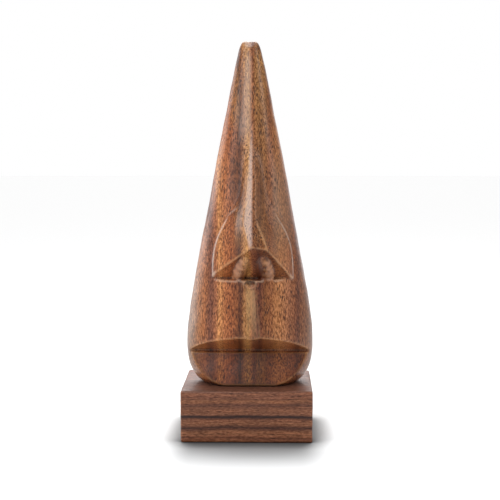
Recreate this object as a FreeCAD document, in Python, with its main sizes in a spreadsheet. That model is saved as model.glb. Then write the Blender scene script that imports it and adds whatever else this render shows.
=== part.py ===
import FreeCAD, Part
import math
import os
import Sketcher

# Eyeglasses display stand: a carved wooden nose on a sawn block.
# Front is -Y, right is +X, up is +Z. The origin is the middle of the block's underside. Lengths are in mm.

doc = FreeCAD.newDocument("glasses_stand")
sheet = doc.addObject("Spreadsheet::Sheet", "Sizes")
sheet.Label = "sizes"
sheet_row = 0


def size(alias, value, note=""):
    """One named size on its own row of the sheet."""
    global sheet_row
    sheet_row += 1
    sheet.set("A%d" % sheet_row, alias)
    sheet.set("B%d" % sheet_row, "%g" % value)
    sheet.set("C%d" % sheet_row, note)
    sheet.setAlias("B%d" % sheet_row, alias)


# --- sizes ---------------------------------------------------------------------------------------------

size("base_width", 54.0, "block, left to right")
size("base_depth", 46.0, "block, front to back")
size("base_height", 21.35, "block, sawn from one inch stock and planed")
size("base_edge", 0.5, "worn edge of the block")

size("glue_thickness", 0.4, "dried glue between block and head")
size("glue_inset", 1.3, "glue stops short of the foot's edge")

size("head_shift", 0.95, "head glued a little right of the block's middle")

# The head is a stack of oval levels. For each one: height above the foot, half width, reach to the front and
# reach to the back of the head's axis.
LEVELS = (
    ("foot", 0.0, 19.7, 16.6, 14.6),
    ("jaw", 4.2, 24.0, 20.0, 17.6),
    ("mouth", 16.2, 26.7, 22.0, 19.4),
    ("lip", 30.0, 25.6, 21.0, 18.9),
    ("undernose", 45.0, 23.15, 19.2, 17.2),
    ("nostril", 52.0, 21.8, 18.3, 16.25),
    ("wing", 60.0, 20.25, 17.25, 15.15),
    ("flare", 67.5, 18.85, 16.25, 14.1),
    ("valley", 76.0, 17.25, 15.1, 12.95),
    ("ridge", 90.0, 14.6, 13.15, 11.05),
    ("bridge", 104.0, 11.9, 11.0, 9.15),
    ("brow", 114.0, 9.85, 9.3, 7.8),
    ("crown", 127.0, 7.35, 6.8, 5.95),
    ("peak", 136.0, 5.35, 4.8, 4.5),
    ("collar", 140.8, 3.95, 3.6, 3.5),
    ("tip", 142.65, 2.85, 2.6, 2.6),
)
for name, height, half_width, front, back in LEVELS:
    size(name + "_height", height, "level above the foot")
    size(name + "_half", half_width, "half width of the head there")
    size(name + "_front", front, "reach to the front")
    size(name + "_back", back, "reach to the back")

# The nose stands on the head from the bridge down. At each level: half width at the cheek, width of the
# strip on the left and on the right of the crest, how far each strip falls back from the crest, reach of the
# crest to the front, how far up the flank its middle lies as a part of the rise, and step from the side of
# the nose down to the cheek. A step below nothing is buried, so there the flank runs smoothly into the head.
NOSE_LEVELS = (
    ("bridge", 3.6, 0.7, 0.8, 0.5, 0.5, 10.4, 0.40, -1.4),
    ("ridge", 6.8, 1.6, 1.3, 0.5, 0.5, 16.4, 0.38, -1.1),
    ("valley", 7.6, 2.6, 1.7, 0.6, 0.6, 21.4, 0.36, -0.2),
    ("flare", 12.0, 3.4, 2.6, 0.7, 0.9, 24.3, 0.42, 0.9),
    ("wing", 15.3, 1.3, 5.6, 0.5, 1.3, 27.0, 0.50, 1.4),
    ("nostril", 16.5, 0.8, 7.0, 0.4, 1.5, 29.6, 0.56, 1.5),
    ("undernose", 16.7, 0.6, 8.0, 0.4, 1.6, 31.8, 0.58, 1.5),
)
NOSE_SIZES = (
    ("_nose_half", "half width of the nose at the cheek"),
    ("_strip_left", "width of the strip left of the crest"),
    ("_strip_right", "width of the strip right of the crest"),
    ("_fall_left", "outer edge of the left strip, behind the crest"),
    ("_fall_right", "outer edge of the right strip, behind the crest"),
    ("_nose_reach", "reach of the crest to the front"),
    ("_nose_hollow", "how far up the flank its middle lies, as a part of the rise"),
    ("_nose_step", "step from the side of the nose down to the cheek"),
)
for level in NOSE_LEVELS:
    for (ending, note), length in zip(NOSE_SIZES, level[1:]):
        size(level[0] + ending, length, note)
size("nose_shift", 1.5, "nose carved a little right of the middle")
size("crest_shift", 1.25, "crest of the nose, right of the head's axis")
size("flank_part", 0.42, "how far out the middle of the flank lies, as a part of the flank")

size("clear_front", 60.0, "cuts from the front start this far forward, clear of the wood")
size("clear_side", 40.0, "cuts from side to side reach this far from the middle")
size("undercut_front", 14.6, "inner corner of the cut under the nose, forward of the axis")
size("undercut_height", 44.9, "shelf at the bottom of that cut")
size("undercut_slope", 47.5, "cut under the nose, degrees above level")
size("shelf_fall", 5.0, "the shelf falls towards the front, degrees")
size("gouge_forward", 17.3, "middle of the nostril gouges, forward of the head's axis")
size("gouge_height", 47.9, "their middle, above the foot")
size("gouge_long", 9.3, "half length of a gouge")
size("gouge_deep", 2.5, "half depth of a gouge")
size("gouge_roll", 24.0, "gouges cut deeper on the inner side, degrees")
size("left_gouge_out", 5.2, "left gouge, out from the nose's middle")
size("left_gouge_wide", 2.5, "its half width")
size("left_gouge_lean", 15.0, "its lean in towards the tip, degrees")
size("right_gouge_out", 5.0, "right gouge, out from the nose's middle")
size("right_gouge_wide", 3.4, "its half width")
size("right_gouge_lean", 6.0, "its lean in towards the tip, degrees")

size("channel_shift", 1.9, "foot of the channel above the lip, right of the head's axis")
size("channel_radius", 3.9, "sweep of the gouge that cut the channel")
size("channel_front", 25.1, "its centre line at the bottom, forward of the axis")
size("channel_low", 14.5, "bottom end of the centre line")
size("channel_long", 31.0, "length of the centre line")
size("channel_lean", 5.2, "the channel leans back with the lip, degrees")
size("channel_tilt", 3.2, "and drifts left as it climbs, degrees")
size("dimple_radius", 1.9, "round gouge mark at the top of the channel")
size("dimple_shift", 0.5, "its centre, right of the axis")
size("dimple_front", 19.5, "its centre, forward of the axis")
size("dimple_height", 43.1, "its centre, above the foot")

size("mouth_corner_front", 7.6, "inner corner of the mouth cut, forward of the axis")
size("mouth_corner_height", 14.0, "its height above the foot")
size("mouth_slope", 26.8, "underside of the lip, degrees above level")
size("chin_top_front", 10.0, "top of the flat chin")
size("chin_top_height", 13.4, "top of the flat chin")
size("chin_foot_front", 14.4, "foot of the flat chin")

size("tip_facet_drop", 2.9, "height of the small flat on the front of the tip")
size("tip_facet_top", 0.9, "its upper edge, forward of the axis")
size("tip_facet_foot", 4.1, "its lower edge, forward of the axis")

size("screw_spacing", 18.0, "between the two screws")
size("screw_head", 4.0, "radius of the round head")
size("screw_crown", 2.4, "radius where the head turns flat")
size("screw_head_height", 2.6, "height of the head")
size("screw_rim", 1.2, "straight side of the head")
size("screw_shank", 1.95, "radius of the plain shank")
size("screw_plain", 9.0, "length of the plain shank")
size("screw_core", 1.4, "radius of the core under the thread")
size("screw_thread", 2.0, "radius over the thread")
size("screw_pitch", 1.8, "from turn to turn")
size("screw_full", 25.0, "where the point begins")
size("screw_reach", 29.0, "length below the head")
size("recess_reach", 2.0, "cross recess, centre to end of an arm")
size("recess_half", 0.5, "half width of an arm")
size("recess_depth", 1.5, "depth of the recess")
size("counterbore", 9.5, "hole for the screw head")
size("counterbore_depth", 5.5, "how far the head is sunk")
size("clearance_hole", 4.4, "hole through the block")
size("pilot_hole", 4.1, "hole in the head for the threaded end")
size("pilot_depth", 14.5, "its depth")
doc.recompute()


# --- helpers -------------------------------------------------------------------------------------------

def value(alias):
    return float(sheet.get(alias))


def bind(obj, prop, expression):
    """Ties a property to the sheet; names in the expression are aliases written as $alias."""
    obj.setExpression(prop, expression.replace("$", sheet.Name + "."))


def set_at(body, across, up):
    """Stands a whole body where it belongs, on the middle plane from front to back."""
    place = "create(<<vector>>; %s; 0; %s)" % (across, up)
    upright = "create(<<rotation>>; create(<<vector>>; 0; 0; 1); 0)"
    bind(body, "Placement", "create(<<placement>>; %s; %s)" % (place, upright))


def new_body(label):
    body = doc.addObject("PartDesign::Body", label)
    body.Label = label
    return body


def new_sketch(body, label, role, offset=None):
    """A sketch on one of the body's own origin planes, moved along its normal by an expression."""
    plane = [item for item in body.Origin.OriginFeatures if item.Role == role][0]
    sketch = body.newObject("Sketcher::SketchObject", label)
    sketch.AttachmentSupport = [(plane, "")]
    sketch.MapMode = "FlatFace"
    if offset:
        bind(sketch, ".AttachmentOffset.Base.z", offset)
    return sketch


def tie_point(sketch, geometry, point, x_expression, y_expression):
    """Fixes a point of the sketch by two dimensions measured from the origin."""
    for kind, axis, expression in (("DistanceX", 0, x_expression), ("DistanceY", 1, y_expression)):
        here = sketch.getPoint(geometry, point)[axis]
        index = sketch.addConstraint(Sketcher.Constraint(kind, -1, 1, geometry, point, here))
        bind(sketch, "Constraints[%d]" % index, expression)


def outline(sketch, corners):
    """A closed outline of straight lines. Each corner is a pair of expressions, across and up. The corners
    start on a circle and their dimensions pull them into place."""
    count = len(corners)
    starts = []
    for index in range(count):
        turn = 2 * math.pi * index / count
        starts.append(FreeCAD.Vector(10 * math.cos(turn), 10 * math.sin(turn), 0))
    lines = []
    for index in range(count):
        line = Part.LineSegment(starts[index], starts[(index + 1) % count])
        lines.append(sketch.addGeometry(line, False))
    for index in range(count):
        following = lines[(index + 1) % count]
        sketch.addConstraint(Sketcher.Constraint("Coincident", lines[index], 2, following, 1))
    for line, (across, up) in zip(lines, corners):
        tie_point(sketch, line, 1, across, up)


def oval(sketch, half_x, half_y, middle_y, start):
    """An oval centred on the sketch's Y axis, wider across than deep."""
    long_half, short_half, middle = start
    centre = FreeCAD.Vector(0, middle, 0)
    curve = sketch.addGeometry(Part.Ellipse(centre, long_half, short_half), False)
    sketch.exposeInternalGeometry(curve)
    sketch.addConstraint(Sketcher.Constraint("PointOnObject", curve, 3, -2))
    sketch.addConstraint(Sketcher.Constraint("Horizontal", curve + 1))
    for line, expression in ((curve + 1, half_x), (curve + 2, half_y)):
        index = sketch.addConstraint(Sketcher.Constraint("Distance", line, 2.0 * start[line - curve - 1]))
        bind(sketch, "Constraints[%d]" % index, "2 * (%s)" % expression)
    index = sketch.addConstraint(Sketcher.Constraint("DistanceY", -1, 1, curve, 3, middle))
    bind(sketch, "Constraints[%d]" % index, middle_y)


def cut_removes(feature, before):
    """A cut that takes nothing away points the wrong way, so it is turned round once."""
    doc.recompute()
    if abs(feature.Shape.Volume - before) < 0.01:
        feature.Reversed = True
        doc.recompute()
    if feature.Shape.Volume > before - 0.01:
        raise RuntimeError("the cut %s removes nothing" % feature.Label)


def side_cut(body, label, corners):
    """Cuts an outline drawn on the middle plane right through the body from side to side."""
    before = body.Shape.Volume
    sketch = new_sketch(body, label + "_outline", "YZ_Plane")
    outline(sketch, corners)
    pocket = body.newObject("PartDesign::Pocket", label)
    pocket.Profile = sketch
    pocket.SideType = "Symmetric"
    bind(pocket, "Length", "2 * $clear_side")
    cut_removes(pocket, before)
    return pocket


# --- base block ----------------------------------------------------------------------------------------

base = new_body("base_block")
base_plan = new_sketch(base, "base_plan", "XY_Plane")
outline(base_plan, (
    ("-$base_width / 2", "-$base_depth / 2"),
    ("$base_width / 2", "-$base_depth / 2"),
    ("$base_width / 2", "$base_depth / 2"),
    ("-$base_width / 2", "$base_depth / 2"),
))
base_pad = base.newObject("PartDesign::Pad", "base_sawn")
base_pad.Profile = base_plan
bind(base_pad, "Length", "$base_height")
doc.recompute()

# two counterbored screw holes from below, in line with the middle of the head
screw_plan = new_sketch(base, "screw_plan", "XY_Plane")
for side, sign in (("left", "-"), ("right", "")):
    middle = FreeCAD.Vector(float(sign + "10"), 0, 0)
    hole_mark = screw_plan.addGeometry(Part.Circle(middle, FreeCAD.Vector(0, 0, 1), 2.0), False)
    tie_point(screw_plan, hole_mark, 3, "$head_shift + %s$screw_spacing / 2" % sign, "0")
    radius = screw_plan.addConstraint(Sketcher.Constraint("Radius", hole_mark, 2.0))
    bind(screw_plan, "Constraints[%d]" % radius, "$clearance_hole / 2")
doc.recompute()
before = base.Shape.Volume
holes = base.newObject("PartDesign::Hole", "screw_holes")
holes.Profile = screw_plan
holes.ThreadType = "None"
bind(holes, "Diameter", "$clearance_hole")
holes.DepthType = "ThroughAll"
holes.HoleCutType = "Counterbore"
holes.HoleCutCustomValues = True
bind(holes, "HoleCutDiameter", "$counterbore")
bind(holes, "HoleCutDepth", "$counterbore_depth")
cut_removes(holes, before)

# edges rubbed down all round
half_w = value("base_width") / 2
half_d = value("base_depth") / 2
worn_edges = []
for index, edge in enumerate(holes.Shape.Edges, 1):
    box = edge.BoundBox
    on_side = abs(abs(edge.CenterOfMass.x) - half_w) < 0.01 or abs(abs(edge.CenterOfMass.y) - half_d) < 0.01
    if on_side and isinstance(edge.Curve, Part.Line):
        worn_edges.append("Edge%d" % index)
base_worn = base.newObject("PartDesign::Fillet", "base_worn_edges")
base_worn.Base = (holes, worn_edges)
bind(base_worn, "Radius", "$base_edge")
doc.recompute()


# --- carved head ---------------------------------------------------------------------------------------

head = new_body("carved_head")
level_sketches = []
for name, height, half_width, front, back in LEVELS:
    sketch = new_sketch(head, name + "_level", "XY_Plane", "$%s_height" % name)
    oval(
        sketch,
        "$%s_half" % name,
        "($%s_front + $%s_back) / 2" % (name, name),
        "($%s_back - $%s_front) / 2" % (name, name),
        (half_width, (front + back) / 2, (back - front) / 2),
    )
    level_sketches.append(sketch)
doc.recompute()
skull = head.newObject("PartDesign::AdditiveLoft", "skull")
skull.Profile = level_sketches[0]
skull.Sections = [(sketch, [""]) for sketch in level_sketches[1:]]
doc.recompute()


def head_surface(name, x_expression):
    """Reach to the front of the head's oval at one level, at a distance x from its axis."""
    middle = "(($%s_front - $%s_back) / 2)" % (name, name)
    depth = "(($%s_front + $%s_back) / 2)" % (name, name)
    return "%s + %s * sqrt(1 - ((%s) / $%s_half) ^ 2)" % (middle, depth, x_expression, name)


# the nose: a ridge with hollow flanks that ends in a low step on the cheeks
nose_sketches = []
for level in reversed(NOSE_LEVELS):
    name = level[0]
    sketch = new_sketch(head, name + "_nose", "XY_Plane", "$%s_height" % name)
    corners = []
    for side, sign in (("left", "-"), ("right", "")):
        cheek_x = "$nose_shift + %s$%s_nose_half" % (sign, name)
        cheek_y = "%s + $%s_nose_step" % (head_surface(name, cheek_x), name)
        strip_x = "$crest_shift + %s$%s_strip_%s" % (sign, name, side)
        strip_y = "$%s_nose_reach - $%s_fall_%s" % (name, name, side)
        flank_x = "%s + $flank_part * (%s - (%s))" % (strip_x, cheek_x, strip_x)
        flank_y = "%s + $%s_nose_hollow * (%s - (%s))" % (cheek_y, name, strip_y, cheek_y)
        points = [
            (cheek_x, "0"),
            (cheek_x, "-(%s)" % cheek_y),
            (flank_x, "-(%s)" % flank_y),
            (strip_x, "-(%s)" % strip_y),
        ]
        if side == "left":
            corners = points + [("$crest_shift", "-$%s_nose_reach" % name)]
        else:
            corners += reversed(points)
    outline(sketch, corners)
    nose_sketches.append(sketch)
doc.recompute()
nose = head.newObject("PartDesign::AdditiveLoft", "nose")
nose.Profile = nose_sketches[0]
nose.Sections = [(sketch, [""]) for sketch in nose_sketches[1:]]
doc.recompute()

# the slanting cut under the nose, with a shelf where it meets the lip
side_cut(head, "under_nose_cut", (
    ("-$undercut_front", "$undercut_height"),
    ("-$clear_front", "$undercut_height - ($clear_front - $undercut_front) * tan($shelf_fall)"),
    ("-$clear_front", "$undercut_height + ($clear_front - $undercut_front) * tan($undercut_slope)"),
))

# the mouth: the lip overhangs a level corner, and the chin below is flat
side_cut(head, "mouth_cut", (
    ("-$mouth_corner_front", "$mouth_corner_height"),
    ("-$chin_top_front", "$chin_top_height"),
    ("-$chin_foot_front", "0"),
    ("-$chin_foot_front", "-5"),
    ("-$clear_front", "-5"),
    ("-$clear_front", "$mouth_corner_height + ($clear_front - $mouth_corner_front) * tan($mouth_slope)"),
))

# the small flat on the front of the tip
side_cut(head, "tip_facet", (
    ("-$tip_facet_top", "$tip_height"),
    ("-$tip_facet_foot", "$tip_height - $tip_facet_drop"),
    ("-10", "$tip_height - $tip_facet_drop"),
    ("-10", "$tip_height"),
))


def scoop(body, kind, label, radii, at, turns):
    """A rounded cutter set in the body. Its axis stands on end before the turns, each an axis and an angle.
    The last turn is made first."""
    before = body.Shape.Volume
    cutter = body.newObject("PartDesign::Subtractive" + kind, label)
    for prop, expression in radii:
        bind(cutter, prop, expression)
    spin = " * ".join("create(<<rotation>>; create(<<vector>>; %s); %s)" % turn for turn in turns)
    bind(cutter, "Placement", "create(<<placement>>; create(<<vector>>; %s; %s; %s); %s)" % (at + (spin,)))
    doc.recompute()
    if cutter.Shape.Volume > before - 0.01:
        raise RuntimeError("the cut %s removes nothing" % label)


ACROSS = "1; 0; 0"
DEEP = "0; 1; 0"
UPRIGHT = "0; 0; 1"

# two nostrils, gouged up along the slanting cut and leaning in towards the tip
for side, sign, turned in (("left", "-", ""), ("right", "", "-")):
    scoop(
        head, "Ellipsoid", "nostril_" + side,
        (("Radius1", "$gouge_long"), ("Radius2", "$%s_gouge_wide" % side), ("Radius3", "$gouge_deep")),
        ("$nose_shift + %s$%s_gouge_out" % (sign, side), "-$gouge_forward", "$gouge_height"),
        ((ACROSS, "90 - $undercut_slope"), (DEEP, "%s$%s_gouge_lean" % (turned, side)),
         (UPRIGHT, "%s$gouge_roll" % turned)),
    )

# the channel from the nose down to the edge of the lip, and the round mark where it starts
scoop(
    head, "Cylinder", "lip_channel",
    (("Radius", "$channel_radius"), ("Height", "$channel_long")),
    ("$channel_shift", "-$channel_front", "$channel_low"),
    ((ACROSS, "-$channel_lean"), (DEEP, "-$channel_tilt")),
)
scoop(
    head, "Sphere", "channel_dimple",
    (("Radius", "$dimple_radius"),),
    ("$dimple_shift", "-$dimple_front", "$dimple_height"),
    ((ACROSS, "0"),),
)

# pilot holes for the screws, straight up into the foot
for side, sign in (("left", "-"), ("right", "")):
    scoop(
        head, "Cylinder", "pilot_" + side,
        (("Radius", "$pilot_hole / 2"), ("Height", "$pilot_depth + 2")),
        (sign + "$screw_spacing / 2", "0", "-2"),
        ((ACROSS, "0"),),
    )
set_at(head, "$head_shift", "$base_height + $glue_thickness")


# --- glue film -----------------------------------------------------------------------------------------

glue = new_body("glue_film")
glue_plan = new_sketch(glue, "glue_plan", "XY_Plane")
foot_half, foot_front, foot_back = value("foot_half"), value("foot_front"), value("foot_back")
oval(
    glue_plan,
    "$foot_half - $glue_inset",
    "($foot_front + $foot_back) / 2 - $glue_inset",
    "($foot_back - $foot_front) / 2",
    (foot_half, (foot_front + foot_back) / 2, (foot_back - foot_front) / 2),
)
glue_pad = glue.newObject("PartDesign::Pad", "glue_spread")
glue_pad.Profile = glue_plan
bind(glue_pad, "Length", "$glue_thickness")
doc.recompute()
side_cut(glue, "glue_front_edge", (
    ("-($chin_foot_front - $glue_inset)", "-1"),
    ("-$clear_front", "-1"),
    ("-$clear_front", "2"),
    ("-($chin_foot_front - $glue_inset)", "2"),
))
for side, sign in (("left", "-"), ("right", "")):
    scoop(
        glue, "Cylinder", "glue_hole_" + side,
        (("Radius", "$clearance_hole / 2"), ("Height", "4")),
        (sign + "$screw_spacing / 2", "0", "-2"),
        ((ACROSS, "0"),),
    )
set_at(glue, "$head_shift", "$base_height")


# --- screws --------------------------------------------------------------------------------------------

screws = []
for side, sign in (("left", "-"), ("right", "")):
    screw = new_body("screw_" + side)
    screws.append(screw)
    turned = new_sketch(screw, side + "_turned", "XZ_Plane")
    outline(turned, (
        ("0", "-$screw_head_height"),
        ("$screw_crown", "-$screw_head_height"),
        ("$screw_head", "-$screw_rim"),
        ("$screw_head", "0"),
        ("$screw_shank", "0"),
        ("$screw_shank", "$screw_plain"),
        ("$screw_core", "$screw_plain + 0.6"),
        ("$screw_core", "$screw_full"),
        ("0.2", "$screw_reach"),
        ("0", "$screw_reach"),
    ))
    blank = screw.newObject("PartDesign::Revolution", side + "_blank")
    blank.Profile = turned
    blank.ReferenceAxis = (turned, ["V_Axis"])
    blank.Angle = 360.0
    doc.recompute()

    # one turn of thread after another, rolled round the core
    tooth = new_sketch(screw, side + "_tooth", "XZ_Plane")
    outline(tooth, (
        ("$screw_core - 0.2", "$screw_plain + 1.0"),
        ("$screw_thread", "$screw_plain + 1.45"),
        ("$screw_thread", "$screw_plain + 1.6"),
        ("$screw_core - 0.2", "$screw_plain + 2.0"),
    ))
    thread = screw.newObject("PartDesign::AdditiveHelix", side + "_thread")
    thread.Profile = tooth
    thread.ReferenceAxis = (tooth, ["V_Axis"])
    thread.Mode = "pitch-height-angle"
    bind(thread, "Pitch", "$screw_pitch")
    bind(thread, "Height", "$screw_full - $screw_plain - 3")
    thread.Angle = 0.0
    doc.recompute()

    # cross recess in the head
    before = screw.Shape.Volume
    cross = new_sketch(screw, side + "_cross", "XY_Plane", "-$screw_head_height")
    quarter = (
        ("$recess_reach", "$recess_half"),
        ("$recess_half", "$recess_half"),
        ("$recess_half", "$recess_reach"),
    )
    corners = []
    for turn in range(4):
        for across, up in quarter:
            for _ in range(turn):
                across, up = "-(%s)" % up, across
            corners.append((across, up))
    outline(cross, corners)
    recess = screw.newObject("PartDesign::Pocket", side + "_recess")
    recess.Profile = cross
    bind(recess, "Length", "$recess_depth")
    cut_removes(recess, before)
    set_at(screw, "$head_shift + %s$screw_spacing / 2" % sign, "$counterbore_depth")
doc.recompute()


# --- check and write -----------------------------------------------------------------------------------

for item in doc.Objects:
    if "Invalid" in item.State or "Error" in item.State:
        raise RuntimeError("%s is %s" % (item.Label, item.State))
os.makedirs("parts", exist_ok=True)
for piece in [base, glue, head] + screws:
    shape = piece.Shape
    if shape.isNull() or not shape.isValid() or len(shape.Solids) != 1:
        raise RuntimeError("%s is not one sound solid" % piece.Label)
    box = shape.BoundBox
    print("%-14s volume %9.1f  x %.2f..%.2f  y %.2f..%.2f  z %.2f..%.2f" % (
        piece.Label, shape.Volume, box.XMin, box.XMax, box.YMin, box.YMax, box.ZMin, box.ZMax))
    shape.exportStep("parts/%s.step" % piece.Label)
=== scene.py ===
# Carved nose stand for one pair of eyeglasses: an oiled sheesham head on a sheesham block.
import math

import bpy
import numpy as np
from mathutils import Matrix, Vector


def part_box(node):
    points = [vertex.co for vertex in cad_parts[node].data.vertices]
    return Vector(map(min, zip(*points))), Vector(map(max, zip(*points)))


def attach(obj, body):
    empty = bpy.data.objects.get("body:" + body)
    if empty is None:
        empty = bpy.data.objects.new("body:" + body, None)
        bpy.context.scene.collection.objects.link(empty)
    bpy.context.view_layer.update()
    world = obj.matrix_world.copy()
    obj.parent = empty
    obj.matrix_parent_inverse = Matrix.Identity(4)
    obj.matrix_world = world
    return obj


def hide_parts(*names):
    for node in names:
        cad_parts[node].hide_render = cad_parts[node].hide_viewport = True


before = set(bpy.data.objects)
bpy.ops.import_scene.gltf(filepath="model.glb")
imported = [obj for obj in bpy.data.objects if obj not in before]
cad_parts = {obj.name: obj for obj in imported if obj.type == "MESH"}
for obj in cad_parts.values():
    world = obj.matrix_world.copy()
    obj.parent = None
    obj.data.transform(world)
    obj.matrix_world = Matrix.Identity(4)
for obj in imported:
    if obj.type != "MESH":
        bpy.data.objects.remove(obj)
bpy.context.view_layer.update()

MM = 0.001

# Where things are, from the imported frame: the head's axis, the level of its foot, and the block.
block_low, block_high = [Vector(corner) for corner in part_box("base_block")]
head_low, head_high = [Vector(corner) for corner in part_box("carved_head")]
AXIS_X = (head_low.x + head_high.x) / 2
AXIS_Y = (block_low.y + block_high.y) / 2
FOOT_Z = head_low.z


def paint(code):
    """An sRGB hex colour as linear RGBA."""
    channels = [int(code[i:i + 2], 16) / 255 for i in (1, 3, 5)]
    return [c / 12.92 if c <= 0.04045 else ((c + 0.055) / 1.055) ** 2.4 for c in channels] + [1.0]


def add(tree, kind, inputs=(), output=0, **settings):
    """Adds a node with its settings and gives one of its outputs. The inputs, by name or in order, are values
    set on the node's own sockets, or outputs of other nodes to link."""
    item = tree.nodes.new("ShaderNode" + kind)
    for key, setting in settings.items():
        setattr(item, key, setting)
    for key, source in inputs.items() if isinstance(inputs, dict) else enumerate(inputs):
        if isinstance(source, bpy.types.NodeSocket):
            tree.links.new(source, item.inputs[key])
        else:
            item.inputs[key].default_value = source
    return item.outputs[output] if item.outputs else None


def new_material(name, surface):
    """A material: surface draws its pattern in the node tree and gives the inputs of the shader."""
    material = bpy.data.materials.new(name)
    material.use_nodes = True
    tree = material.node_tree
    tree.nodes.clear()
    shader = add(tree, "BsdfPrincipled", surface(tree))
    add(tree, "OutputMaterial", {"Surface": shader})
    return material


# --- camera, lamps and surroundings ---------------------------------------------------------------

# The camera, in mm. Its place is counted from the table under the head's axis, and it looks at a height on
# that axis.
LENS = 79.83
SENSOR = 36.0
CAMERA_PLACE = (10.5, -468.3, 117.1)
LOOKED_AT = 77.26


def aim(thing, target):
    """Turns a camera or a lamp to face a point."""
    direction = Vector(target) - thing.location
    thing.rotation_euler = direction.to_track_quat("-Z", "Y").to_euler()


def soft_box(name, place, target_up, width, height, watts, colour=(1, 1, 1)):
    """A rectangular studio lamp, in mm, turned to a point above the middle of the table."""
    lamp = bpy.data.lights.new(name, "AREA")
    lamp.shape = "RECTANGLE"
    lamp.size = width * MM
    lamp.size_y = height * MM
    lamp.energy = watts
    lamp.color = colour
    holder = bpy.data.objects.new(name, lamp)
    holder.location = Vector(place) * MM
    bpy.context.scene.collection.objects.link(holder)
    aim(holder, (0, 0, target_up * MM))


camera = bpy.data.objects.new("camera", bpy.data.cameras.new("camera"))
bpy.context.scene.collection.objects.link(camera)
camera.data.lens = LENS
camera.data.sensor_width = SENSOR
camera.data.clip_start = 0.01
camera.location = Vector((AXIS_X, 0, 0)) + Vector(CAMERA_PLACE) * MM
aim(camera, (AXIS_X, 0, LOOKED_AT * MM))
bpy.context.scene.camera = camera

soft_box("left_box", (-500, -330, 430), 85, 260, 420, 1.75)
soft_box("front_box", (-120, -400, 410), 95, 190, 380, 1.15, (0.88, 0.95, 1.0))
soft_box("right_box", (500, -200, 360), 85, 120, 420, 0.9)
# two sweeps behind the stand, that draw a pale sheen along its sides
soft_box("left_sweep", (-520, 330, 160), 70, 420, 460, 1.6)
soft_box("right_sweep", (360, 620, 140), 60, 200, 420, 0.35)

# a wide soft panel behind and above the stand, that keeps the table white and the shadow in front
panel = bpy.data.lights.new("back_panel", "SUN")
panel.energy = 3.3
panel.angle = math.radians(60)
panel_holder = bpy.data.objects.new("back_panel", panel)
panel_holder.location = Vector((-20, 470, 500)) * MM
bpy.context.scene.collection.objects.link(panel_holder)
aim(panel_holder, (0, 0, 0))

# white surroundings, seen bright but lending the stand only a part of their light
world = bpy.data.worlds.new("studio")
bpy.context.scene.world = world
world.use_nodes = True
sky = world.node_tree
ray = add(sky, "LightPath").node.outputs
lent = add(sky, "Math", (ray["Is Glossy Ray"], 0.14, 0.28), operation="MULTIPLY_ADD")
shown = add(sky, "Math", (ray["Is Camera Ray"], 0.72, lent), operation="MULTIPLY_ADD")
sky.links.new(shown, sky.nodes["Background"].inputs["Strength"])
sky.nodes["Background"].inputs["Color"].default_value = (1, 1, 1, 1)
bpy.context.scene.view_settings.view_transform = "Standard"


# --- sheesham -------------------------------------------------------------------------------------

# Sheesham, or Indian rosewood: a dense open-pored hardwood. Its rings run from golden tan through
# red-brown to a purple that is nearly black, its vessels show as short dark dashes along the grain, and the
# oil and wax rubbed into the sanded wood leave a satin sheen with a soft clear edge to the reflections.

# A Mix node keeps its two colours in inputs 6 and 7, and the mixed colour in output 2.
UNDER, OVER, MIXED = 6, 7, 2


def stretched(tree, grain, across, along):
    """Grain-wise coordinates scaled so that one unit is so many mm across the fibres and along them."""
    return add(tree, "VectorMath", (grain, (1 / across, 1 / across, 1 / along)), operation="MULTIPLY")


def swayed(tree, grain, strength):
    """The grain bent by the log's slow sway over a hand's breadth, and by the small waver of each ring."""
    sway = add(tree, "TexNoise", {
        "Vector": stretched(tree, grain, 18, 55), "Scale": 1.0, "Detail": 2.0, "Roughness": 0.5}, "Color")
    waver = add(tree, "TexNoise", {
        "Vector": stretched(tree, grain, 2.6, 19), "Scale": 1.0, "Detail": 2.0, "Roughness": 0.6}, "Color")
    for wobble, reach in ((sway, strength["sway"]), (waver, strength["waver"])):
        centred = add(tree, "VectorMath", (wobble, (0.5, 0.5, 0.5)), operation="SUBTRACT")
        offset = add(tree, "VectorMath", (centred, (reach, reach, 0)), operation="MULTIPLY")
        grain = add(tree, "VectorMath", (grain, offset), operation="ADD")
    return grain


def ring_age(tree, grain, heart):
    """Mm outwards through the rings, counted from the middle of the piece. heart is the middle of the log."""
    level = add(tree, "VectorMath", (grain, (1, 1, 0)), operation="MULTIPLY")
    radius = add(tree, "VectorMath", (level, (*heart, 0)), "Value", operation="DISTANCE")
    return add(tree, "Math", (radius, abs(heart[0])), operation="SUBTRACT")


def broad_rings(tree, age, half_span, rings):
    """Colours by age. rings lists (mm across the piece, colour)."""
    part = add(tree, "MapRange", (age, -half_span, half_span))
    bands = add(tree, "ValToRGB", (part,))
    ramp = bands.node.color_ramp
    while len(ramp.elements) < len(rings):
        ramp.elements.new(0.5)
    for element, (across, colour) in zip(ramp.elements, sorted(rings)):
        element.position = (across + half_span) / (2 * half_span)
        element.color = paint(colour)
    return bands


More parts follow.
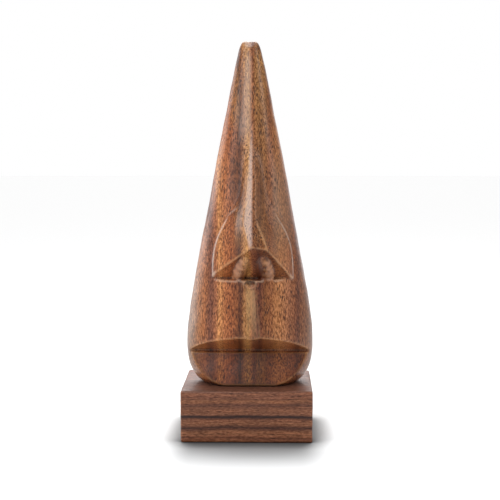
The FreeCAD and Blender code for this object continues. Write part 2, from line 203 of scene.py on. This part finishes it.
def sheesham(tree, turn, place, heart, half_span, rings, strength):
    """The wood's figure. turn sets the fibres along local Z and place shifts the log, in mm. Gives the
    colour, the pores, the fibres and the grain's coordinates in mm."""
    position = add(tree, "TexCoord", output="Object")
    grain = add(tree, "Mapping", {
        "Vector": position, "Location": place, "Rotation": turn, "Scale": (1 / MM, 1 / MM, 1 / MM)})
    bent = swayed(tree, grain, strength)
    age = ring_age(tree, bent, heart)
    rings_at = broad_rings(tree, age, half_span, rings)

    # golden streaks over the rings, where the piece's points carry that mark
    golden = add(tree, "Attribute", output="Fac", attribute_name="golden_figure")
    colour = add(tree, "Mix", {0: golden, UNDER: rings_at, OVER: paint("#99683a")}, MIXED,
                 data_type="RGBA", blend_type="MIX")

    # fine growth lines about 0.7 mm apart that follow the rings
    line_at = add(tree, "CombineXYZ", (add(tree, "Math", (age, 1 / 0.7), operation="MULTIPLY"),))
    lines = add(tree, "TexNoise", {"Vector": line_at, "Scale": 1.0, "Detail": 3.0, "Roughness": 0.65})
    shade = add(tree, "MapRange", (lines, 0.32, 0.68, 1 - strength["lines"], 1 + strength["lines"]))

    # fibres: real ones are finer than a hair, so bundles of them are drawn, 0.35 mm wide and some 12 mm long
    fibres = add(tree, "TexNoise", {
        "Vector": stretched(tree, bent, 0.35, 12), "Scale": 1.0, "Detail": 2.0, "Roughness": 0.6})
    thread = add(tree, "MapRange", (fibres, 0.3, 0.7, 1 - strength["fibres"], 1 + strength["fibres"]))
    shade = add(tree, "Math", (shade, thread), operation="MULTIPLY")
    colour = add(tree, "VectorMath", {0: colour, "Scale": shade}, operation="SCALE")

    # the mottle of interlocked grain: golden and red-brown flecks under half a mm wide and 1.5 mm long
    fleck = add(tree, "TexNoise", {
        "Vector": stretched(tree, bent, 0.45, 1.5), "Scale": 1.0, "Detail": 3.0, "Roughness": 0.6})
    fleck = add(tree, "MapRange", (fleck, 0.38, 0.62))
    darker = [1 - strength["mottle"] * part for part in (1.0, 1.15, 1.35)]
    lighter = [1 + strength["mottle"] * part for part in (0.85, 1.15, 1.35)]
    dark = add(tree, "VectorMath", (colour, darker), operation="MULTIPLY")
    light = add(tree, "VectorMath", (colour, lighter), operation="MULTIPLY")
    colour = add(tree, "Mix", {0: fleck, UNDER: dark, OVER: light}, MIXED, data_type="RGBA", blend_type="MIX")

    # vessels cut open along the surface: dark dashes about 0.3 mm by 2 mm, scattered and clustered
    dashes_at = stretched(tree, bent, 0.85, 3.6)
    from_dash = add(tree, "TexVoronoi", {"Vector": dashes_at, "Scale": 1.0}, "Distance")
    crowd = add(tree, "TexNoise", {"Vector": stretched(tree, grain, 4, 14), "Scale": 1.0, "Detail": 1.0})
    reach = add(tree, "MapRange", (crowd, 0.35, 0.65, 0.2, 0.36))
    from_dash = add(tree, "Math", (from_dash, reach), operation="DIVIDE")
    pore = add(tree, "MapRange", (from_dash, 0.55, 1.0, strength["pores"], 0),
               interpolation_type="SMOOTHSTEP")
    colour = add(tree, "Mix", {0: pore, UNDER: colour, OVER: paint("#2c1810")}, MIXED,
                 data_type="RGBA", blend_type="MIX")
    return colour, pore, fibres, grain


def oiled(tree, colour, pore, fibres, grain, roughness):
    """The oiled surface: a thin film of oil and wax, a little rougher in patches of about 7 by 16 mm and in
    the open pores, which are a tenth of a mm deep."""
    patch = add(tree, "TexNoise", {"Vector": stretched(tree, grain, 7, 16), "Scale": 1.0, "Detail": 2.0})
    rough = add(tree, "MapRange", (patch, 0.3, 0.7, roughness - 0.05, roughness + 0.07))
    rough = add(tree, "Math", (pore, 0.25, rough), operation="MULTIPLY_ADD")
    raised = add(tree, "Math", (fibres, 0.25), operation="MULTIPLY")
    height = add(tree, "Math", (raised, pore), operation="SUBTRACT")
    bump = add(tree, "Bump", {"Strength": 0.5, "Distance": 0.12 * MM, "Height": height})
    return {
        "Base Color": colour, "Roughness": rough, "Normal": bump, "IOR": 1.45, "Specular IOR Level": 0.32,
        "Coat Weight": 0.12, "Coat Roughness": 0.28, "Coat IOR": 1.46}


# Rings across the head, left to right, in mm from its axis.
HEAD_RINGS = (
    (-30.0, "#5f4230"), (-24.0, "#7a5236"), (-20.7, "#8f5834"), (-18.3, "#935530"), (-15.9, "#623627"),
    (-13.5, "#925534"), (-12.3, "#ad6f40"), (-9.9, "#965630"), (-7.5, "#864826"), (-5.1, "#703c1f"),
    (-3.9, "#4f2816"), (-2.9, "#6d3d20"), (-1.8, "#97623a"), (-0.3, "#a5713f"), (1.1, "#8e5532"),
    (2.1, "#6e3d27"), (3.3, "#673620"), (4.5, "#4f2619"), (5.7, "#66361e"), (6.9, "#744222"),
    (9.3, "#7e492a"), (11.7, "#9a6139"), (14.1, "#9a603a"), (16.5, "#8a5232"), (18.9, "#784327"),
    (20.1, "#633624"), (21.3, "#764429"), (25.0, "#744527"), (30.0, "#6a452c"),
)

# Rings up the block, in mm from its middle.
BLOCK_RINGS = (
    (-14.0, "#7a4a34"), (-10.4, "#875336"), (-9.0, "#764530"), (-7.4, "#8a563a"), (-6.0, "#784931"),
    (-5.2, "#553022"), (-4.6, "#42241b"), (-4.0, "#70432d"), (-2.6, "#825036"), (-1.2, "#6e402b"),
    (-0.5, "#341a14"), (0.1, "#2a1511"), (0.6, "#6b412d"), (2.2, "#804e35"), (3.6, "#73452f"),
    (5.0, "#5f3727"), (6.4, "#7c4b30"), (8.2, "#6c3f2b"), (9.6, "#774730"), (10.8, "#6a4333"),
    (14.0, "#6f4230"),
)

# Marks left by the carver and by use, and painted highlights, reflections and shade, each with how it colours
# the wood, how much, and its colour.
HEAD_MARKS = (
    ("painted_cheek_reflection", "MIX", 0.45, "#6e5a4c"),        # painted reflection: a grey sheen on the right cheek and the forehead
    ("painted_face_shade", "MULTIPLY", 1.0, "#c2aa8e"),     # painted shade on the sawn chin under the lip, and under the nose, most on its right side
    ("scraped_flute", "MIX", 0.5, "#a5825a"),        # the channel over the lip, scraped back to golden wood
    ("painted_ridge_sheen", "MIX", 0.5, "#c4ada2"),         # painted highlight: a pale sheen on the facet of the ridge, up the forehead and on the tip
    ("edge_wear_and_painted_highlight", "MIX", 0.45, "#c08d5e"),           # edges worn golden, with a painted highlight along them
    ("painted_wing_highlight", "MIX", 0.45, "#ccb9aa"),           # painted highlight: a pale line along the edges of the nose's wings and of the shelf
    ("raw_cut", "MIX", 0.5, "#b48262"),              # nostrils left as the gouge cut them
    ("painted_hollow_shade", "MIX", 0.75, "#22120c"),        # painted shade in creases, hollows, under the nose and round the foot
)


def head_surface(tree):
    """The head: carved with gouges, rasped and sanded, then oiled and rubbed with wax to a satin sheen. Its
    grain stands upright, and its open pores show through every mark."""
    colour, pore, fibres, grain = sheesham(
        tree, (0, 0, 0), (-AXIS_X / MM, -AXIS_Y / MM, 0), (-118.0, -18.0), 32.0, HEAD_RINGS,
        {"sway": 2.8, "waver": 1.0, "lines": 0.2, "fibres": 0.18, "mottle": 0.6, "pores": 0.9})
    kept = add(tree, "Math", (pore, -0.5, 1.0), operation="MULTIPLY_ADD")
    for mark, mode, amount, shade in HEAD_MARKS:
        spot = add(tree, "Attribute", output="Fac", attribute_name=mark)
        part = add(tree, "Math", (spot, amount), operation="MULTIPLY")
        part = add(tree, "Math", (part, kept), operation="MULTIPLY")
        colour = add(tree, "Mix", {0: part, UNDER: colour, OVER: paint(shade)}, MIXED,
                     data_type="RGBA", blend_type=mode)
    return oiled(tree, colour, pore, fibres, grain, 0.36)


def block_surface(tree):
    """The block: sawn, sanded and thinly oiled, so it is duller than the head. Its grain runs left to
    right, and its growth lines show as dark stripes along the front."""
    middle = (block_low.z + block_high.z) / 2 / MM
    colour, pore, fibres, grain = sheesham(
        tree, (0, math.radians(90), 0), (-middle, 0, 0), (-160.0, -23.0), 15.0, BLOCK_RINGS,
        {"sway": 2.2, "waver": 1.3, "lines": 0.42, "fibres": 0.36, "mottle": 0.34, "pores": 0.55})
    return oiled(tree, colour, pore, fibres, grain, 0.5)


# --- glue, screws and table -----------------------------------------------------------------------

def glue_surface(tree):
    """Wood glue squeezed out and dried in the joint: dark amber, half dull, in lumps about a mm across."""
    position = add(tree, "TexCoord", output="Object")
    lumps = add(tree, "TexNoise", {"Vector": position, "Scale": 1 / (1.1 * MM), "Detail": 3.0})
    amber = add(tree, "ValToRGB", (lumps,))
    amber.node.color_ramp.elements[0].color = paint("#1d120b")
    amber.node.color_ramp.elements[1].color = paint("#3a2616")
    bump = add(tree, "Bump", {"Strength": 0.4, "Distance": 0.05 * MM, "Height": lumps})
    return {"Base Color": amber, "Roughness": 0.55, "Normal": bump}


def zinc_surface(tree):
    """Steel screws, headed from drawn wire and zinc-plated: bright and cool, dulled in patches 2 or 3 mm
    across."""
    position = add(tree, "TexCoord", output="Object")
    bloom = add(tree, "TexNoise", {
        "Vector": position, "Scale": 1 / (2.4 * MM), "Detail": 4.0, "Roughness": 0.6})
    plate = add(tree, "ValToRGB", (bloom,))
    plate.node.color_ramp.elements[0].color = paint("#9b9a94")
    plate.node.color_ramp.elements[1].color = paint("#c9c8c2")
    rough = add(tree, "MapRange", (bloom, 0.3, 0.7, 0.28, 0.42))
    return {"Base Color": plate, "Metallic": 1.0, "Roughness": rough}


# The painted shadow before the block, in mm. It fades sideways between two distances from the block's middle,
# and forwards and backwards over so much from its front. Where it is deepest, it leaves a third of the light.
SIDE_FROM, SIDE_TO = 21, 36
SHADE_BEFORE, SHADE_BEHIND = 46, 12
DEEPEST = 0.34


def table_surface(tree):
    """Matt white studio table with painted shade: it darkens where the stand comes close, and most in front
    of the block, where the block hides the panel behind it."""
    # how far a point lies beside the block and in front of it, each as a part of the painted shadow's reach
    fade = SIDE_TO - SIDE_FROM
    place = add(tree, "SeparateXYZ", (add(tree, "TexCoord", output="Object"),)).node.outputs
    beside = add(tree, "Math", (place["X"], (block_low.x + block_high.x) / 2), operation="SUBTRACT")
    beside = add(tree, "Math", (beside,), operation="ABSOLUTE")
    beside = add(tree, "Math", (beside, 1 / (fade * MM), -SIDE_FROM / fade), operation="MULTIPLY_ADD")
    beside = add(tree, "Math", (beside, 0.0), operation="MAXIMUM")
    before = add(tree, "Math", (block_low.y, place["Y"]), operation="SUBTRACT")
    forwards = add(tree, "Math", (before, SHADE_BEFORE * MM), operation="DIVIDE")
    backwards = add(tree, "Math", (before, -SHADE_BEHIND * MM), operation="DIVIDE")
    before = add(tree, "Math", (forwards, backwards), operation="MAXIMUM")
    away = add(tree, "Math", (before, before), operation="MULTIPLY")
    away = add(tree, "Math", (beside, beside, away), operation="MULTIPLY_ADD")
    away = add(tree, "Math", (away,), operation="SQRT")
    # the painted shadow's strength at each point of the table
    clear_of_painted_shadow = add(tree, "MapRange", (away, 0.0, 1.0, DEEPEST, 1.0), interpolation_type="SMOOTHSTEP")

    # painted contact shade: the table's colour darkened where the stand comes close around it
    painted_contact_shade = add(tree, "AmbientOcclusion", {"Distance": 11 * MM}, "AO", samples=16)
    painted_contact_shade = add(tree, "Math", (painted_contact_shade, 2.2), operation="POWER")
    painted_light_level = add(tree, "Math", (painted_contact_shade, clear_of_painted_shadow), operation="MULTIPLY")
    white = add(tree, "Mix", {0: painted_light_level, UNDER: paint("#000000"), OVER: paint("#f0f0f0")}, MIXED,
                data_type="RGBA", blend_type="MIX")
    return {"Base Color": white, "Roughness": 0.9}


head_wood = new_material("oiled_sheesham_head", head_surface)
block_wood = new_material("oiled_sheesham_block", block_surface)
glue = new_material("dried_wood_glue", glue_surface)
zinc = new_material("zinc_plated_screw", zinc_surface)
table_white = new_material("studio_table", table_surface)


# --- shaping tools --------------------------------------------------------------------------------

SKIN = 0.5      # mm from point to point of a skin
EASING = 2      # strokes of the sandpaper


def sanded_copy(node, name):
    """A fine even skin over a CAD node, with every edge eased as by sanding."""
    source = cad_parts[node]
    piece = bpy.data.objects.new(name, source.data.copy())
    bpy.context.scene.collection.objects.link(piece)
    skin = piece.modifiers.new("skin", "REMESH")
    skin.mode = "VOXEL"
    skin.voxel_size = SKIN * MM
    ease = piece.modifiers.new("ease", "SMOOTH")
    ease.factor = 0.5
    ease.iterations = EASING
    evaluated = piece.evaluated_get(bpy.context.evaluated_depsgraph_get())
    mesh = bpy.data.meshes.new_from_object(evaluated)
    piece.modifiers.clear()
    piece.data = mesh
    mesh.materials.clear()
    mesh.polygons.foreach_set("use_smooth", [True] * len(mesh.polygons))
    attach(piece, "root")
    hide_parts(node)
    return piece


def vectors(mesh, kind):
    """The places ("co") or the outward directions ("normal") of a mesh's points."""
    flat = np.empty(len(mesh.vertices) * 3)
    mesh.vertices.foreach_get(kind, flat)
    return flat.reshape(-1, 3)


def neighbours(mesh):
    """Pairs of points that share an edge."""
    flat = np.empty(len(mesh.edges) * 2, dtype=np.int64)
    mesh.edges.foreach_get("vertices", flat)
    return flat.reshape(-1, 2)


def move_points(mesh, places):
    """Moves every point of a mesh to its new place."""
    mesh.vertices.foreach_set("co", places.reshape(-1))
    mesh.update()


def neighbour_mean(values, pairs):
    """The mean of each point's neighbours."""
    count = len(values)
    total = np.bincount(pairs[:, 0], weights=values[pairs[:, 1]], minlength=count)
    total += np.bincount(pairs[:, 1], weights=values[pairs[:, 0]], minlength=count)
    return total / np.bincount(pairs.ravel(), minlength=count).astype(float)


def averaged(values, pairs, passes):
    """Each point's value blended with its neighbours', so many times."""
    for _ in range(passes):
        values = 0.5 * values + 0.5 * neighbour_mean(values, pairs)
    return values


def bend_of(mesh):
    """How far each point stands out from its neighbours, in mm: above nothing on edges, below in hollows."""
    places, pairs = vectors(mesh, "co"), neighbours(mesh)
    middle = np.column_stack([neighbour_mean(places[:, axis], pairs) for axis in range(3)])
    stand = ((places - middle) * vectors(mesh, "normal")).sum(axis=1) / MM
    return averaged(stand, pairs, 1)


def store(mesh, name, values):
    """Keeps a mark, between nothing and one, on the mesh's points for the material to read."""
    layer = mesh.attributes.new(name, "FLOAT", "POINT")
    layer.data.foreach_set("value", np.clip(values, 0, 1).astype(np.float32))


def waves(places, seed, length, count=7):
    """Smooth unevenness, mostly between -1 and 1, made of a few slanting waves. Places and length are in
    mm."""
    rng = np.random.default_rng(seed)
    total = np.zeros(len(places))
    for _ in range(count):
        direction = rng.normal(size=3)
        direction /= np.linalg.norm(direction)
        pitch = length * rng.uniform(0.7, 1.6)
        total += np.sin(places @ direction * 2 * math.pi / pitch + rng.uniform(0, 2 * math.pi))
    return total / math.sqrt(count)


def above(values, none, full):
    """Nothing below the first value, one above the second, smooth between."""
    part = np.clip((values - none) / (full - none), 0, 1)
    return part * part * (3 - 2 * part)


def below(values, full, none):
    """One below the first value, nothing above the second, smooth between."""
    return above(-values, -none, -full)


def between(values, low, low_full, high_full, high):
    """One from low_full to high_full, nothing below low or above high, smooth between."""
    return above(values, low, low_full) * below(values, high_full, high)


def near(values, target, full, none):
    """One within so many mm of the target, nothing past so many, smooth between."""
    return below(abs(values - target), full, none)


# --- the carved head ------------------------------------------------------------------------------

# Places on the head are in mm: across from its axis, forward from the middle of the block, up from its
# foot.
NOSE_X = 1.5        # the middle of the nose's wings
CREST_X = 1.25      # the crest of the nose
CHIN_TOP = 14.0     # the mouth cut, over the flat chin
NOSE_FOOT = 44.0    # the level of the shelf that the nose stands on
NOSE_TIP = 57.0     # the lowest point of the crest

head = sanded_copy("carved_head", "carved_head_wood")
mesh = head.data
places = vectors(mesh, "co")
outward = vectors(mesh, "normal")
local = (places - np.array([AXIS_X, AXIS_Y, FOOT_Z])) / MM
across, forward, up = local[:, 0], -local[:, 1], local[:, 2]
facing_front, facing_down = -outward[:, 1], -outward[:, 2]
on_front = above(facing_front, 0.2, 0.5)

# the nose runs out softly into the forehead: its upper creases are sanded away, its crest much less
NOSE_SANDING = 42
pairs = neighbours(mesh)
sanded = np.column_stack([averaged(places[:, axis], pairs, NOSE_SANDING) for axis in range(3)])
valley = ((sanded - places) * outward).sum(axis=1) / MM
softness = between(up, 70, 84, 108, 118) * above(forward, 3, 7) * (1 - 0.6 * above(-valley, 0.0, 0.2))
places = places + (sanded - places) * softness[:, None]

# The two nostrils: how far out from the middle of the nose, half the width of the gouge's cut in mm, and how
# the gouge was leaned and rolled, in degrees. The rest is the same for both.
NOSTRILS = ((-5.2, 2.5, 15.0, 24.0), (5.0, 3.4, -6.0, -24.0))
GOUGE_FORWARD, GOUGE_UP, GOUGE_SLANT = 17.3, 47.9, 42.5
GOUGE_DEEP, GOUGE_LONG = 2.5, 9.3       # half depth and half length of the cut
STEP_PITCH, STEP_HEIGHT = 3.1, 0.11     # the steps that the gouge left along it

# the outer wall of a nostril shows raw wood with the steps of the gouge; the inner wall gets painted shade
raw_wood = np.zeros(len(places))
wall_shade = np.zeros(len(places))
for out, wide, lean, roll in NOSTRILS:
    spin = (Matrix.Rotation(math.radians(GOUGE_SLANT), 3, "X") @ Matrix.Rotation(math.radians(lean), 3, "Y")
            @ Matrix.Rotation(math.radians(roll), 3, "Z"))
    over, into, along = ((local - np.array([NOSE_X + out, -GOUGE_FORWARD, GOUGE_UP])) @ np.array(spin)).T
    side = over * math.copysign(1, out)
    torn = side / wide + 0.12 * waves(local, 15, 2.6)
    chatter = np.sin(along * 2 * math.pi / STEP_PITCH + 1.2 * waves(local, 14, 6.0))
    inside = below((over / wide) ** 2 + (into / GOUGE_DEEP) ** 2 + (along / GOUGE_LONG) ** 2, 1.15, 1.45)
    raw_wood += inside * above(torn, 0.12 * wide, 0.12 * wide + 0.2) * (0.9 + 0.1 * chatter)
    wall_shade += inside * below(side, -0.2, 1.4)
    steps = STEP_HEIGHT * chatter * inside * above(torn, 0.0, 0.3)
    places = places + outward * (steps * MM)[:, None]

# the unevenness that rasp and sandpaper leave by hand
swell = 0.10 * waves(local, 11, 26.0) + 0.035 * waves(local, 12, 8.0)
places = places + outward * (swell * MM)[:, None]
move_points(mesh, places)
bend = bend_of(mesh)

# the sawn chin, the cut under the nose, and the shelf in front of it
chin = above(forward, 7, 9) * below(up, CHIN_TOP - 0.4, CHIN_TOP + 0.4) * above(facing_front, 0.6, 0.85)
under_nose = above(forward, 14, 15) * above(up, NOSE_FOOT, NOSE_FOOT + 1) * above(facing_down, 0.3, 0.5)
shelf = near(up, NOSE_FOOT, 0.8, 1.6) * above(forward, 12, 15)

# the flute drifts left as it climbs from the lip to the round gouge mark under the nose
flute_x = 1.9 - 0.056 * (up - 14.5)
flute = near(across, flute_x, 1.4, 2.4) * between(up, 15, 34, 40, 42) * (forward > 14)
DIMPLE_PLACE = (0.5, -19.5, 43.0)
DIMPLE_RADIUS = 2.3
from_dimple = np.linalg.norm(local - np.array(DIMPLE_PLACE), axis=1)
dimple = below(from_dimple, DIMPLE_RADIUS - 0.2, DIMPLE_RADIUS + 0.2)

# painted highlight: a pale sheen on the facet left of the crest. The facet is widest a little above the tip
# of the nose, where a golden edge leaves the crest on its right
CREST_LEVELS = (52, 60, 67.5, 76, 90, 104)
facet = np.interp(up, CREST_LEVELS, (0.8, 1.3, 3.4, 2.6, 1.6, 0.7))
crest = np.interp(up, CREST_LEVELS, (29.6, 27.0, 24.3, 21.4, 16.4, 10.4))
from_crest = across - CREST_X
ridge = above(from_crest + facet, -0.5, 0.6) * below(from_crest, -0.1, 0.2)
ridge *= above(forward - crest, -1.8, -1.2) * between(up, NOSE_TIP, NOSE_TIP + 3, 96, 112)
facet_edge = CREST_X + np.interp(up, (52, 60, 67.5, 76), (7.0, 5.6, 2.6, 1.7))
golden_edge = near(across, facet_edge, 0.2, 0.75) * above(forward, 20, 22) * on_front
golden_edge *= between(up, NOSE_TIP, NOSE_TIP + 2, 65, 71) * above(facing_down, -0.9, -0.5)

# painted highlight: a pale sheen band up the forehead, and on the small flat on the tip
brow_left = -4.2 + 0.09 * (up - 107)
brow = above(across - brow_left, -0.6, 0.6) * below(across, 0.3, 1.3)
brow *= between(up, 98, 108, 134, 140) * above(forward, 1, 3)
tip = between(across, -2.4, -1.6, 0.4, 1.2) * above(up, 139.5, 140.5)

# painted highlight along the outline of the wings on the cheeks, and its two ends, which turn in towards the
# bridge, and along the shelf's edge
wing_half = np.interp(up, (45, 52, 60, 67.5, 76), (16.7, 16.5, 15.3, 12.0, 7.6))
by_wing = near(abs(across - NOSE_X), wing_half, 1.0, 1.6) * between(up, 43, 45, 75, 79)
left_end = np.interp(up, (68.2, 70.2, 71.7, 73.8, 75.5), (-11.3, -9.7, -7.9, -5.4, -3.9))
right_end = np.interp(up, (71.2, 73.8, 76.2), (11.6, 10.6, 9.3))
wing_ends = near(across, left_end, 0.3, 0.8) * between(up, 69.5, 71.5, 73, 75)
wing_ends += near(across, right_end, 0.2, 0.6) * between(up, 71.5, 72.5, 74, 77)
painted_wing_highlight = by_wing * np.clip((bend - 0.004) / 0.02, 0, 0.9) * below(up, 71.5, 74)
painted_wing_highlight *= 1 - 0.6 * below(up, 45.5, 47)
painted_wing_highlight += 0.55 * wing_ends * above(forward, 13, 15) + shelf * np.clip((bend - 0.01) / 0.05, 0, 0.33)

# a long golden streak in the wood, right of the crest, and shorter ones on the forehead, nose and chin
figure = np.interp(up, (56, 62, 90, 112, 136, 142), (0, 0.3, 0.3, 0.5, 0.75, 0.2))
figure *= between(across, 1.0, 2.8, 6, 8)
figure += 0.35 * between(across, -9, -7, -4.8, -3.8) * between(up, 104, 112, 128, 136)
figure += 0.25 * between(across, -6.5, -5.5, -2.8, -1.8) * between(up, 57, 62, 70, 78)
figure *= on_front
figure += 0.4 * chin * between(across, 2.2, 3.4, 5.5, 7.5)

# painted reflection: a grey sheen on the right cheek, beside the nose
dulled = between(across, 8.5, 11, 16.5, 19) * between(up, 52, 66, 84, 100)

# painted shade in creases, in the round gouge mark and its rim, beside the bridge, down the middle of the
# chin, under the nose and round the foot
shade_in_hollows = np.clip((-bend - 0.02) / 0.06, 0, 1) + 0.18 * wall_shade
shade_in_hollows += 1.4 * dimple * above(up, 42.7, 43.5)
shade_in_hollows += 0.5 * near(from_dimple, DIMPLE_RADIUS, 0.15, 0.45) * (forward > 14) * below(up, 43, 44)
shade_in_hollows += 0.45 * above(valley, 0.1, 0.6) * above(up, 70, 82) * on_front
shade_in_hollows += 0.5 * near(across, -6.4, 0.9, 2.4) * between(up, 73, 82, 90, 102) * on_front
shade_in_hollows += 0.25 * chin * near(across, 0.2, 1.6, 3) + 0.32 * under_nose * above(across, 3, 8)
shade_in_hollows += 0.7 * below(up, 0.4, 1.4)

store(mesh, "golden_figure", figure)
# painted reflection on the right cheek and the forehead
store(mesh, "painted_cheek_reflection", dulled * on_front + 0.5 * brow)
# painted shade on the chin and under the nose
store(mesh, "painted_face_shade", chin + (0.35 + 0.55 * above(across, 2, 8)) * under_nose)
store(mesh, "scraped_flute", flute)
# painted highlight on the ridge's facet, up the forehead and on the tip
store(mesh, "painted_ridge_sheen", ridge + 0.35 * brow + 0.8 * tip * on_front)
# edges worn golden, with a painted highlight along them
store(mesh, "edge_wear_and_painted_highlight", (bend - 0.014) / 0.045 + golden_edge)
# painted highlight along the wings of the nose and the shelf's edge
store(mesh, "painted_wing_highlight", painted_wing_highlight)
store(mesh, "raw_cut", raw_wood + 0.7 * dimple * below(up, 42.4, 43.2))
# painted shade in creases, hollows and round the foot
store(mesh, "painted_hollow_shade", shade_in_hollows)
mesh.materials.append(head_wood)


# --- the block, the fastenings and the table ------------------------------------------------------

block = sanded_copy("base_block", "base_block_wood")
mesh = block.data
places = vectors(mesh, "co")
swell = 0.05 * waves(places / MM, 21, 24.0) + 0.02 * waves(places / MM, 22, 6.0)
move_points(mesh, places + vectors(mesh, "normal") * (swell * MM)[:, None])
mesh.materials.append(block_wood)

for node, material in (("glue_film", glue), ("screw_left", zinc), ("screw_right", zinc)):
    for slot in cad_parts[node].material_slots:
        slot.material = material

TABLE_REACH = 6.0      # metres from the middle to each side
corners = [(-1, -1), (1, -1), (1, 1), (-1, 1)]
table_mesh = bpy.data.meshes.new("table_top")
table_mesh.from_pydata([(x * TABLE_REACH, y * TABLE_REACH, 0) for x, y in corners], [], [(0, 1, 2, 3)])
table_mesh.materials.append(table_white)
table = bpy.data.objects.new("table_top", table_mesh)
bpy.context.scene.collection.objects.link(table)
